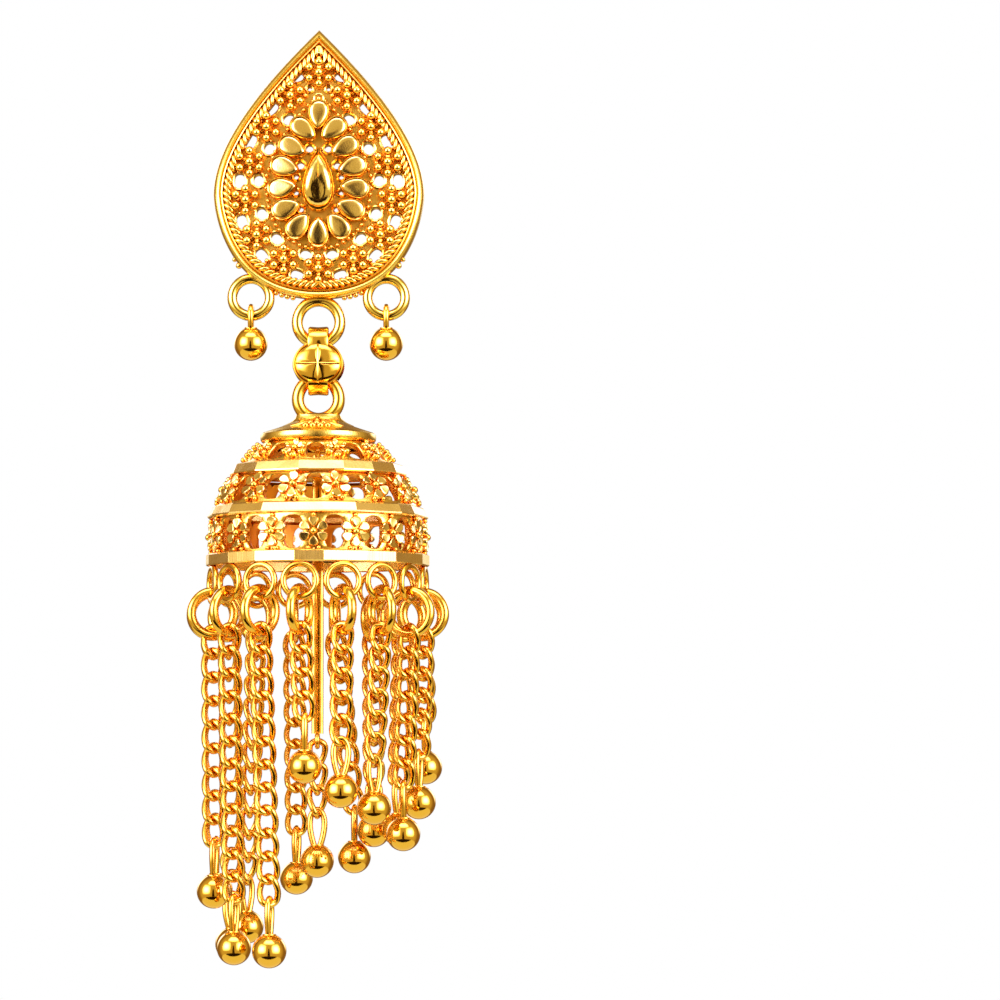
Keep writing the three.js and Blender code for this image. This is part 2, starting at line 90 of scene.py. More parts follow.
# A petal's edge and its plate, and the drop's collar and its pillow, as insets and heights.
STUD_PETAL = {"long": 1.38, "wide": 1.0, "blunt": 1.9, "lean_above": 1.35}
PETAL_EDGE = [(0, 0.6), (0, 1.53), (0.04, 1.67), (0.1, 1.73), (0.17, 1.69), (0.22, 1.55)]
PETAL_PLATE = [(0.19, 0.8), (0.19, 1.59), (0.21, 1.67), (0.27, 1.71), (0.45, 1.74), (0.65, 1.75)]
CABOCHON = {"tip": 2.98, "foot": -2.8, "half": 1.5, "shoulder": 1.8, "fall": 0.07}
COLLAR = [(0, 0.6), (0, 1.65), (0.05, 1.85), (0.11, 1.9), (0.17, 1.86), (0.2, 1.75)]
PILLOW = [(0.15, 0.8), (0.15, 1.75), (0.18, 1.9), (0.25, 2.06), (0.36, 2.18), (0.52, 2.26),
          (0.75, 2.295), (1.0, 2.3)]
SIDE_RING = {"x": 6.06, "z": -10.37, "radius": 1.68, "wire": 0.46}
MIDDLE_RING = {"z": -12.6, "radius": 1.91, "wire": 0.52}
# Granules under the stud's rim: x and radius.
FOOT_GRANULES = [(2.3, 0.24), (2.8, 0.26), (3.3, 0.26), (3.8, 0.24), (7.15, 0.3), (7.55, 0.22)]
# Granules under the stud's tip: z, radius, height, and the radius and height of a wire eye round it.
TIP_GRANULES = [(BEAD_RING["top"], 0.25, 1.3, 0.42, 1.3), (11.05, 0.26, 1.35, 0.52, 1.4),
                (12.1, 0.2, 1.3, 0, 0)]
EYE_WIRE = 0.09
BEAD_RING_GRANULE = 0.2
# Rings of granules on the stud's ground: the teardrop that they follow, and their radius.
GROUND_RINGS = [({"top": 8.5, "side": 5.62, "foot": -6.85, "count": 28}, 0.25),
                ({"top": 10.7, "side": 7.35, "foot": -8.75, "count": 42}, 0.21)]
GROUND_CLEAR = 0.62
GAP_BORDER = {"out": 0.13, "wire": 0.14}

# Connector.
# The bead's rim: shares of its size, heights, and how much the lobes show there.
BEAD = {"z": -16.45, "half_wide": 2.285, "half_high": 2.025, "wall": 1.06, "front": 1.9}
BEAD_RIM = [(1.0, 0.0, 0), (1.0, 0.1, 0), (0.975, 0.2, 0), (0.935, 0.22, 0), (0.91, 0.14, 0),
            (0.88, 0.14, 0), (0.86, 0.24, 0.3)]
BOSS = {"share": 0.88, "up": 0.24, "round": 0.85, "dip": 0.13, "dip_width": 0.33}
RIB = {"reach": 0.84, "wire": 0.1, "sunk": 0.08}
BEAD_WEB = {"x": 2.2, "y": 1.3, "z": 0.62}
BEAD_WEB_UP = 0.35
TOP_STRAP = {"z": -14.51, "inner": 1.02}
FOOT_STRAP = {"z": -17.66, "inner": 1.08}
STRAP = {"thick": 0.47, "half_width": 0.85}

# Dome: each row of flowers stands on a pierced wall between two bands.
DOME_RING = {"z": -19.49, "radius": 1.83, "wire": 0.57}
CEILING_EYE = {"z": -23.15, "radius": 0.95, "wire": 0.3}
CAP_PROFILE = [
    (0, -21.15), (1.2, -21.2), (2.0, -21.5), (2.8, -21.86), (3.7, -22.18), (4.95, -22.6), (5.14, -22.74),
    (5.18, -22.95), (5.16, -23.25), (5.05, -23.42), (4.8, -23.6), (4.3, -23.7), (3.6, -23.3),
    (2.0, -22.8), (0, -22.6),
]
# The flare from the top ring's foot to the cap, as thick as this share of its width.
NECK_PROFILE = [(0, -20.8), (1.5, -20.82), (1.98, -20.95), (2.12, -21.3), (2.5, -21.62),
                (3.2, -21.95), (0, -22.0)]
NECK_DEPTH = 0.5
CAP_SLOPE = {"r": 3.3, "z": -22.04, "tilt": 67, "half": 4, "bulge": 0}
RELIEF_ROWS = {0.75: 1, 0.13: 3, -0.49: 4}
RELIEF_STEP = 0.6
RELIEF_GRANULE = 0.29
RELIEF_WIRE = 0.2
BANDS = [
    [(6.5, -25.3), (7.4, -25.46), (7.6, -25.56), (7.9, -26.28), (7.9, -26.38), (7.72, -26.48),
     (7.1, -26.5), (6.5, -26.1)],
    [(8.8, -29.15), (9.38, -29.24), (9.52, -29.36), (9.88, -30.06), (9.87, -30.17),
     (9.7, -30.3), (9.1, -30.32), (8.7, -30.0)],
    [(9.3, -33.5), (9.86, -33.52), (9.97, -33.62), (9.97, -34.44), (9.88, -34.55),
     (9.3, -34.58), (9.02, -34.48), (8.95, -33.7)],
]
BAND_FACETS = [14, 16, 18]
BAND_UNEVEN = 0.28
ROWS = [
    {"count": 10, "turn": 0.5, "r": 5.9, "z": -24.48, "tilt": 43, "half": 1.32, "bulge": 0.05,
     "gap": (0.8, 1.02), "petal": (0.36, 0.3), "spread": 0.6, "boss": 0.27, "tips": 0.23},
    {"count": 14, "turn": 0.5, "r": 8.28, "z": -27.85, "tilt": 29, "half": 1.54, "bulge": 0.14,
     "gap": (0.88, 1.3), "petal": (0.5, 0.43), "spread": 0.84, "boss": 0.32, "tips": 0},
    {"count": 16, "turn": 0, "r": 9.42, "z": -31.92, "tilt": 0, "half": 1.66, "bulge": 0.1,
     "gap": (0.92, 1.46), "petal": (0.5, 0.43), "spread": 0.84, "boss": 0.32, "tips": 0},
]
WALL = 0.6
WALL_SET_BACK = 0.08
# The section of a gap's edge: the share of the way to the bay's edge, and the depth. Its first
# steps show outside.
WALL_SECTION = [(1, 0), (0.5, 0), (0.14, 0), (0.04, 0.05), (0, 0.14), (0, 0.46), (0.04, 0.56),
                (0.14, WALL), (0.5, WALL), (1, WALL)]
WALL_OUTER_STEPS = 4
DOME_PETAL = [(0, -0.25), (0, 0.16), (0.03, 0.24), (0.09, 0.28), (0.16, 0.27)]
# Granules between a flower and its bands: how far across, and up or down.
STEMS = [(0, 1), (-0.45, -1), (0.45, -1)]
STEM_GRANULE = 0.2
LOOP = {"ring": 9.54, "z": -36.22, "radius": 1.47, "wire": 0.28}

# Tassel. One row for each strand, from the front round to the right: how far its jump ring
# is turned from square to the dome, and how its bail is turned, in degrees. The links of a
# strand turn towards LINKS_FACE as far as their hooks let them.
STRANDS = [(-16, 90), (12, 5), (-8, 40), (10, 88), (-6, 75), (4, 80), (-10, 60), (8, 30),
           (14, 88), (-12, 75), (6, 50), (-8, 20), (5, 100), (-4, 80), (10, 70), (-12, 77)]
STRAND_FIRST = -7
STRAND_STEP = 22.5
JUMP = {"radius": 1.905, "wire": 0.42}
LINK = {"pitch": 2.0, "half": 0.8, "wire": 0.28, "clearance": 0.02, "reach": 48, "slack": 0.04,
        "sway": 4, "tilt": 2, "centre_turn": 45, "centre_sway": 5}
LINKS_FACE = 8
BALL_RADIUS = 1.5
BALL_COLLAR = [(0.62, 1.42), (0.6, 1.46), (0.55, 1.46), (0.51, 1.4), (0.5, 1.1), (0, 1.1)]
BAIL = {"crest": 4.8, "side_crest": 3.62, "foot": 0.9, "half": 0.83, "wire": 0.27}
BAR = {"half_wide": 0.53, "half_deep": 0.27, "top": -24.6, "foot": -49.4}
BAR_EYES = {"top": -24.08, "foot": -49.98, "radius": 0.6, "wire": 0.22}
POST = {"radius": 0.45, "length": 10.5, "groove": 9.1}


# Shapes are pairs of vertices, as an array, and faces, as lists of indices.

def even_angles(count):
    return 2 * math.pi * np.arange(count) / count


def lattice(spots, around=True, along=False):
    """Quads over rows of spots. around closes each row, and along joins the last row to the first."""
    rows, columns = spots.shape[:2]
    index = np.arange(rows * columns).reshape(rows, columns)
    lower = np.roll(index, -1, 0) if along else index[1:]
    upper = index if along else index[:-1]
    if around:
        corners = [upper, np.roll(upper, -1, 1), np.roll(lower, -1, 1), lower]
    else:
        corners = [upper[:, :-1], upper[:, 1:], lower[:, 1:], lower[:, :-1]]
    return spots.reshape(-1, 3), np.stack(corners, -1).reshape(-1, 4).tolist()


def unit(vectors):
    return vectors / np.linalg.norm(vectors, axis=-1, keepdims=True)


def swept(path, wire, reference, sides=12, closed=True, flat=1.0):
    """A wire along a path. reference points away from it, and flat squashes the section across that."""
    path = np.asarray(path, float)
    if closed:
        tangents = unit(np.roll(path, -1, 0) - np.roll(path, 1, 0))
    else:
        tangents = unit(np.gradient(path, axis=0))
    reference = np.broadcast_to(np.asarray(reference, float), path.shape)
    out = unit(reference - tangents * np.sum(reference * tangents, 1)[:, None])
    side = np.cross(tangents, out)
    angles = even_angles(sides)
    wire = np.broadcast_to(np.asarray(wire, float), (len(path),))
    spots = (path[:, None] + wire[:, None, None] * (
        out[:, None] * np.cos(angles)[None, :, None]
        + flat * side[:, None] * np.sin(angles)[None, :, None]))
    spots, faces = lattice(spots, along=closed)
    if not closed:
        last = len(spots) - sides
        faces += [list(range(sides)), list(range(last, last + sides))]
    return spots, faces


def ring(radius, wire, steps=48, sides=14, flat=1.0):
    """A round ring in the XZ plane."""
    angles = even_angles(steps)
    path = np.stack([radius * np.cos(angles), 0 * angles, radius * np.sin(angles)], 1)
    return swept(path, wire, path, sides, flat=flat)


def revolved(profile, angles, closed=False):
    """A surface of revolution about Z. A spot on the axis is one vertex."""
    spots, rows = [], []
    for radius, z in profile:
        start = len(spots)
        if radius < 1e-6:
            spots.append((0, 0, z))
            rows.append([start] * len(angles))
        else:
            spots += [(radius * math.cos(a), radius * math.sin(a), z) for a in angles]
            rows.append(list(range(start, start + len(angles))))
    faces = []
    for upper, lower in zip(rows, rows[1:] + rows[:1] if closed else rows[1:]):
        for i in range(len(angles)):
            j = (i + 1) % len(angles)
            face = list(dict.fromkeys([upper[i], lower[i], lower[j], upper[j]]))
            if len(face) > 2:
                faces.append(face)
    return np.array(spots, float), faces


def granule(radius, segments=12, rows=7, squash=1.0):
    """A small ball, round or squashed along Z."""
    turns = [math.pi * i / rows for i in range(rows + 1)]
    profile = [(radius * math.sin(t), squash * radius * math.cos(t)) for t in turns]
    profile[0] = (0, profile[0][1])
    profile[-1] = (0, profile[-1][1])
    return revolved(profile, even_angles(segments))


def moved(shape, x=0.0, y=0.0, z=0.0):
    return shape[0] + (x, y, z), shape[1]


def turned(shape, degrees, axis="Z"):
    matrix = np.array(Matrix.Rotation(math.radians(degrees), 3, axis))
    return shape[0] @ matrix.T, shape[1]


def stretched(shape, x=1.0, y=1.0, z=1.0):
    return shape[0] * (x, y, z), shape[1]


def inset(outline, distance):
    """Moves each side of a closed plan outline inward, as far as the middle line at most."""
    before = unit(outline - np.roll(outline, 1, 0))
    after = unit(np.roll(outline, -1, 0) - outline)
    inward_before = np.stack([-before[:, 1], before[:, 0]], 1)
    inward_after = np.stack([-after[:, 1], after[:, 0]], 1)
    way = unit(inward_before + inward_after)
    shifted = outline + way * (distance / np.sum(way * inward_after, 1))[:, None]
    ends = np.flatnonzero(np.abs(outline[:, 0]) < 1e-9)
    for i in np.flatnonzero(shifted[:, 0] * outline[:, 0] < 0):
        shifted[i] = shifted[ends[np.argmin(np.abs(outline[ends, 1] - outline[i, 1]))]]
    return shifted


def spaced(points, count, phase=0.0):
    """Evenly spaced places along a closed line, and the directions of the line there."""
    closed = np.vstack([points, points[:1]])
    lengths = np.r_[0, np.cumsum(np.linalg.norm(np.diff(closed, axis=0), axis=1))]
    at = (np.arange(count) + phase) / count * lengths[-1]
    near = 0.01 * lengths[-1] / count
    at, after = at % lengths[-1], (at + near) % lengths[-1]
    places = np.stack([np.interp(at, lengths, closed[:, k]) for k in (0, 1)], 1)
    beyond = np.stack([np.interp(after, lengths, closed[:, k]) for k in (0, 1)], 1)
    return places, unit(beyond - places)


MERGE = 1e-7
SHARP = 40


class Casting:
    """Gathers the shapes of one piece, each with the finish that it shows."""

    def __init__(self):
        self.spots, self.faces, self.finish, self.smooth = [], [], [], []
        self.count = 0

    def add(self, shape, finish=0, smooth=True):
        spots, faces = shape
        self.spots.append(spots)
        self.faces += [[i + self.count for i in face] for face in faces]
        self.finish += [finish] * len(faces)
        self.smooth += [smooth] * len(faces)
        self.count += len(spots)

    def make(self, name, finishes, slot, body, *nodes):
        mesh = bpy.data.meshes.new(name)
        mesh.from_pydata((np.vstack(self.spots) * MM).tolist(), [], self.faces)
        for finish in finishes:
            mesh.materials.append(finish)
        mesh.polygons.foreach_set("material_index", self.finish)
        mesh.polygons.foreach_set("use_smooth", self.smooth)
        work = bmesh.new()
        work.from_mesh(mesh)
        bmesh.ops.remove_doubles(work, verts=work.verts, dist=MERGE)
        bmesh.ops.recalc_face_normals(work, faces=work.faces)
        work.to_mesh(mesh)
        work.free()
        flat = [polygon.index for polygon in mesh.polygons if not polygon.use_smooth]
        mesh.set_sharp_from_angle(angle=math.radians(SHARP))
        for index in flat:
            mesh.polygons[index].use_smooth = False
        piece = bpy.data.objects.new(name, mesh)
        bpy.context.scene.collection.objects.link(piece)
        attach(piece, body)
        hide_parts(*nodes)
        return piece


# Finishes.

def add_node(tree, kind, **values):
    node = tree.nodes.new(kind)
    for key, value in values.items():
        if key in node.inputs:
            node.inputs[key].default_value = value
        else:
            setattr(node, key, value)
    return node


CLOUD_SCALE = 650.0
WAVE = {"scale": 520.0, "depth": 0.00012}
GRAIN = {"scale": 7000.0, "depth": 0.00002, "brushed": 0.08}
# Painted shade in recesses: how far the ambient occlusion looks, and the occlusion values where the shade
# colour is full and where it has faded out.
PAINTED_SHADE = {"reach": 0.0007, "deepest": 0.25, "open": 0.85}
CLOUD_TINT = {"share": 0.35, "colour": (1.0, 0.86, 0.72, 1)}


def gold_finish(name, base, deep, roughness, spread, grain, wave, brushed=False):
    """Gold plate with painted shade: its colour darkens towards deep in recesses found by ambient
    occlusion, and it has clouds of polish, casting grain and soft waves.

    Its roughness varies by spread each way, and grain and wave are the strengths of its bumps.
    """
    material = bpy.data.materials.new(name)
    material.use_nodes = True
    tree = material.node_tree
    shader = tree.nodes["Principled BSDF"]
    shader.inputs["Metallic"].default_value = 1.0
    place = add_node(tree, "ShaderNodeTexCoord").outputs["Object"]

    clouds = add_node(tree, "ShaderNodeTexNoise", Scale=CLOUD_SCALE, Detail=3.0, Roughness=0.6)
    tree.links.new(place, clouds.inputs["Vector"])
    # Painted shade: ambient occlusion mixes the base colour towards the darker deep colour in recesses,
    # creases and between parts.
    painted_shade_ao = add_node(tree, "ShaderNodeAmbientOcclusion", samples=6, Distance=PAINTED_SHADE["reach"])
    depth = add_node(tree, "ShaderNodeMapRange")
    depth.inputs["From Min"].default_value = PAINTED_SHADE["deepest"]
    depth.inputs["From Max"].default_value = PAINTED_SHADE["open"]
    tree.links.new(painted_shade_ao.outputs["AO"], depth.inputs["Value"])
    colour = add_node(tree, "ShaderNodeMix", data_type="RGBA")
    colour.inputs[6].default_value = (*deep, 1)
    colour.inputs[7].default_value = (*base, 1)
    tree.links.new(depth.outputs["Result"], colour.inputs[0])
    tint = add_node(tree, "ShaderNodeMix", data_type="RGBA", blend_type="MULTIPLY")
    tint.inputs[0].default_value = CLOUD_TINT["share"]
    tone = add_node(tree, "ShaderNodeValToRGB")
    tone.color_ramp.elements[0].color = CLOUD_TINT["colour"]
    tone.color_ramp.elements[1].color = (1, 1, 1, 1)
    tree.links.new(clouds.outputs["Fac"], tone.inputs["Fac"])
    tree.links.new(colour.outputs[2], tint.inputs[6])
    tree.links.new(tone.outputs["Color"], tint.inputs[7])
    tree.links.new(tint.outputs[2], shader.inputs["Base Color"])

    polish = add_node(tree, "ShaderNodeMapRange")
    polish.inputs["To Min"].default_value = max(0.02, roughness - spread)
    polish.inputs["To Max"].default_value = roughness + spread
    tree.links.new(clouds.outputs["Fac"], polish.inputs["Value"])
    tree.links.new(polish.outputs["Result"], shader.inputs["Roughness"])

    soft = add_node(tree, "ShaderNodeTexNoise", Scale=WAVE["scale"], Detail=1.0)
    tree.links.new(place, soft.inputs["Vector"])
    waves = add_node(tree, "ShaderNodeBump", Strength=wave, Distance=WAVE["depth"])
    tree.links.new(soft.outputs["Fac"], waves.inputs["Height"])
    fine = add_node(tree, "ShaderNodeTexNoise", Scale=GRAIN["scale"], Detail=2.0)
    if brushed:
        across = add_node(tree, "ShaderNodeMapping")
        across.inputs["Scale"].default_value = (1.0, 1.0, GRAIN["brushed"])
        tree.links.new(place, across.inputs["Vector"])
        tree.links.new(across.outputs["Vector"], fine.inputs["Vector"])
    else:
        tree.links.new(place, fine.inputs["Vector"])
    pits = add_node(tree, "ShaderNodeBump", Strength=grain, Distance=GRAIN["depth"])
    tree.links.new(fine.outputs["Fac"], pits.inputs["Height"])
    tree.links.new(waves.outputs["Normal"], pits.inputs["Normal"])
    tree.links.new(pits.outputs["Normal"], shader.inputs["Normal"])
    return material


GOLD = (0.84, 0.56, 0.08)
PALE = (0.88, 0.61, 0.13)
# The orange below is the painted shade colour that the finishes turn to in their recesses.
PAINTED_SHADE_ORANGE = (0.76, 0.35, 0.025)
DEEP = (0.82, 0.47, 0.045)
cast_gold = gold_finish("cast_gold", GOLD, PAINTED_SHADE_ORANGE, 0.2, 0.06, 0.5, 0.35)
granule_gold = gold_finish("granule_gold", GOLD, PAINTED_SHADE_ORANGE, 0.1, 0.03, 0.1, 0.05)
polished_gold = gold_finish("polished_gold", DEEP, PAINTED_SHADE_ORANGE, 0.1, 0.03, 0.1, 0.05)
wire_gold = gold_finish("wire_gold", DEEP, PAINTED_SHADE_ORANGE, 0.11, 0.04, 0.2, 0.12)
cut_gold = gold_finish("cut_gold", PALE, PAINTED_SHADE_ORANGE, 0.25, 0.05, 0.35, 0.3, brushed=True)
petal_gold = gold_finish("petal_gold", PALE, PAINTED_SHADE_ORANGE, 0.16, 0.05, 0.25, 0.4)
ground_gold = gold_finish("ground_gold", (0.8, 0.48, 0.055), PAINTED_SHADE_ORANGE, 0.3, 0.08, 1.0, 1.0)
# Painted shade: a darker, more orange copy of the gold, with darker painted shade in its recesses, for
# the inner half of each gap in the dome's walls, where shade falls inside the dome.
shaded_inner_gold = gold_finish("shaded_inner_gold", (0.8, 0.33, 0.025), (0.5, 0.17, 0.01), 0.3, 0.08, 0.6, 0.6)
cabochon_gold = gold_finish("cabochon_gold", PALE, PAINTED_SHADE_ORANGE, 0.1, 0.05, 0.35, 0.5)


# Stud.

def bezier(a, b, c, d, steps):
    t = (np.arange(steps) / steps)[:, None]
    a, b, c, d = (np.array(p, float) for p in (a, b, c, d))
    return (1 - t) ** 3 * a + 3 * (1 - t) ** 2 * t * b + 3 * (1 - t) * t * t * c + t ** 3 * d


def stud_outline(steps=48):
    """The stud's edge in plan, from its tip down the left side and up the right."""
    widest = (-STUD_HALF_WIDTH, STUD_WIDEST_AT)
    upper = bezier(
        (0, STUD_TIP), (-STUD_TIP_HANDLE, STUD_TIP - STUD_TIP_HANDLE),
        (-STUD_HALF_WIDTH, STUD_WIDEST_AT + STUD_SIDE_HANDLE_UP), widest, steps)
    lower = bezier(
        widest, (-STUD_HALF_WIDTH, STUD_WIDEST_AT - STUD_SIDE_HANDLE_DOWN),
        (-STUD_FOOT_HANDLE, STUD_FOOT), (0, STUD_FOOT), steps)
    left = np.vstack([upper, lower, [(0, STUD_FOOT)]])
    return np.vstack([left, left[-2:0:-1] * (-1, 1)])


def teardrop(top, side, foot, steps=24):
    """A closed teardrop line in plan, clockwise from its top."""
    half = np.array([(side * out, top + (foot - top) * down) for out, down in TEARDROP])
    knots = np.vstack([half, half[-2:0:-1] * (-1, 1)])
    t = (np.arange(steps) / steps)[:, None]
    pieces = []
    for i in range(len(knots)):
        a, b, c, d = (knots[(i + k) % len(knots)] for k in (-1, 0, 1, 2))
        pieces.append(0.5 * (2 * b + (c - a) * t + (2 * a - 5 * b + 4 * c - d) * t * t
                             + (3 * b - a - 3 * c + d) * t ** 3))
    return np.vstack(pieces)


def ring_places(top, side, foot, count, phase=0.0):
    """Places on a teardrop: (x, z, unit vector along it, unit vector out of it)."""
    places, along = spaced(teardrop(top, side, foot), count, phase)
    return [(p, a, np.array((-a[1], a[0]))) for p, a in zip(places, along)]


def rounded(centre, along, out, half_along, half_out, points, power):
    """A rounded rectangle in plan. Its sides stand along two unit vectors."""
    angles = even_angles(points)
    c, s = np.cos(angles), np.sin(angles)
    u = half_along * np.sign(c) * np.abs(c) ** power
    v = half_out * np.sign(s) * np.abs(s) ** power
    return centre + np.outer(u, along) + np.outer(v, out)


def inside(outlines, spots):
    """Whether each spot lies inside an odd number of the outlines."""
    odd = np.zeros(len(spots), bool)
    for outline in outlines:
        after = np.roll(outline, -1, 0)
        for (ax, az), (bx, bz) in zip(outline, after):
            if az != bz:
                level = (az > spots[:, 1]) != (bz > spots[:, 1])
                odd ^= level & (spots[:, 0] < ax + (bx - ax) * (spots[:, 1] - az) / (bz - az))
    return odd


def filled(outlines, height):
    """Flat triangles inside the first outline and outside the others."""
    spots, edges = [], []
    for outline in outlines:
        start, count = len(spots), len(outline)
        spots += [Vector(spot) for spot in outline.tolist()]
        edges += [(start + i, start + (i + 1) % count) for i in range(count)]
    made = delaunay_2d_cdt(spots, edges, [], 0, 1e-5)
    spots = np.array([tuple(spot) for spot in made[0]])
    faces = np.array(made[2])
    faces = faces[inside(outlines, spots[faces].mean(1))]
    return np.c_[spots, np.full(len(spots), height)], faces.tolist()


def pierced_sheet(lower, upper, height, bevel):
    """A sheet in plan with bevelled edges, inside the first outline and outside the others."""
    shapes = [filled(lower, 0), filled(upper, height)]
    for foot, top in zip(lower, upper):
        levels = ((foot, 0), (foot, height - bevel), (top, height))
        shapes.append(lattice(np.array([np.c_[line, np.full(len(line), z)] for line, z in levels])))
    return shapes


def on_face(shape):
    """Carries a shape from plan, (x, z, height), to the crowned front of the stud."""
    spots = shape[0].copy()
    middle = (STUD_TIP + STUD_FOOT) / 2
    reach = (STUD_TIP - STUD_FOOT) / 2
    out = (spots[:, 0] / STUD_HALF_WIDTH) ** 2 + ((spots[:, 1] - middle) / reach) ** 2
    height = spots[:, 2] * (1 + STUD_CROWN * np.clip(1 - out, 0, None))
    return np.stack([spots[:, 0], -height, spots[:, 1]], 1), shape[1]


def lofted(outline, levels):
    """A solid over a plan outline. A level is an inset and a height, and the last closes to a point."""
    rows = [np.c_[inset(outline, depth), np.full(len(outline), height)] for depth, height in levels]
    spots, faces = lattice(np.array(rows))
    crest = np.r_[rows[-1][:, :2].mean(0), levels[-1][1]]
    spots = np.vstack([spots, crest])
    first = len(spots) - 1 - len(outline)
    turn = range(len(outline))
    faces += [[first + i, first + (i + 1) % len(outline), len(spots) - 1] for i in turn]
    faces.append(list(turn))
    return spots, faces


def drop_outline(long, wide, points=28, blunt=1.12):
    """A drop in plan about the origin, round at its upper end and more or less blunt at its lower."""
    t = even_angles(points)
    across = np.sin(t) * np.sqrt(blunt + np.cos(t))
    return np.c_[-wide * across / across.max(), long * np.cos(t)]


def leaned(shape, side_lean, end_lean, middle):
    """Tips the top of a plan shape a little, so that it catches the light in its own way."""
    spots = shape[0].copy()
    lift = side_lean * spots[:, 0] + end_lean * spots[:, 1]
    spots[:, 2] += lift * np.clip((spots[:, 2] - middle) / 0.3, 0, 1)
    return spots, shape[1]


def set_at(shape, centre, out):
    """Turns a plan shape so that its upper end points along out, and sets it at centre."""
    degrees = math.degrees(math.atan2(-out[0], out[1]))
    return moved(turned(shape, degrees), centre[0], centre[1])


def add_rim(stud, outline):
    rows = [np.c_[inset(outline, depth), np.full(len(outline), height)]
            for depth, height in RIM_PROFILE]
    stud.add(on_face(lattice(np.array(rows), along=True)), 0)


def add_rope(stud, outline):
    """Short round strands that lie across the band inside the rim and lean towards its foot."""
    middle = inset(outline, (ROPE["inner"] + ROPE["outer"]) / 2)
    length = np.sum(np.linalg.norm(np.roll(middle, -1, 0) - middle, axis=1))
    places, along = spaced(middle, round(length / ROPE["pitch"]), 0.5)
    half = (ROPE["inner"] - ROPE["outer"]) / 2
    for place, way in zip(places, along):
        inward = np.array((-way[1], way[0]))
        lean = ROPE["lean"] if place[0] < 0 else -ROPE["lean"]
        strand = inward * half + way * lean
        long = np.linalg.norm(strand) + ROPE["overlap"]
        shape = stretched(granule(1, 8, 6), ROPE["radius"], long, ROPE["radius"] * ROPE["tall"])
        stud.add(on_face(moved(set_at(shape, place, unit(strand)), z=ROPE["height"])), 0)


def add_flower(stud, centre):
    """A flower of granules on spokes round a larger one."""
    stud.add(on_face(moved(granule(FLOWER["boss"]), *centre, FLOWER["boss_up"])), 1)
    for i in range(FLOWER["count"]):
        angle = 2 * math.pi * (i + 0.5) / FLOWER["count"]
        spot = centre + FLOWER["reach"] * np.array((math.cos(angle), math.sin(angle)))
        path = np.c_[np.array([centre, (centre + spot) / 2, spot]), FLOWER["spoke_up"]]
        stud.add(on_face(swept(path, FLOWER["spoke"], (0, 0, 1), 8, closed=False)), 0)
        stud.add(on_face(moved(granule(FLOWER["granule"]), *spot, FLOWER["granule_up"])), 1)


def add_petals(stud, dice):
    """Flat polished petals, each in a thin bright edge."""
    outline = drop_outline(STUD_PETAL["long"], STUD_PETAL["wide"], 32, STUD_PETAL["blunt"])
    edge, flat = lofted(outline, PETAL_EDGE), lofted(outline, PETAL_PLATE)
    for centre, _, out in ring_places(**PETAL_RING):
        side_lean, end_lean = dice.uniform(-0.07, 0.07), dice.uniform(-0.1, 0.04)
        plate = leaned(flat, side_lean, end_lean, STUD_PETAL["lean_above"])
        stud.add(on_face(set_at(edge, centre, out)), 1)
        stud.add(on_face(set_at(plate, centre, out)), 2)


def add_cabochon(stud):
    """The drop in the middle, nearly flat on top, in a thin collar."""
    middle = (CABOCHON["tip"] + CABOCHON["foot"]) / 2
    long = (CABOCHON["tip"] - CABOCHON["foot"]) / 2
    outline = -drop_outline(long, CABOCHON["half"], 56)
    spots, faces = lofted(outline, PILLOW)
    upper = spots[:, 2] > CABOCHON["shoulder"]
    spots[upper, 2] -= CABOCHON["fall"] * spots[upper, 1] ** 2
    stud.add(on_face(moved(lofted(outline, COLLAR), 0, middle)), 1)
    stud.add(on_face(moved((spots, faces), 0, middle)), 3)


def stud_gaps():
    gaps = []
    for x, z, along, out, power in GAPS:
        for side in (-1, 1):
            centre = np.array((side * x, z))
            away = unit(centre * GAP_LEAN)
            gaps.append(rounded(centre, (away[1], -away[0]), away, along, out, 20, power))
    return gaps


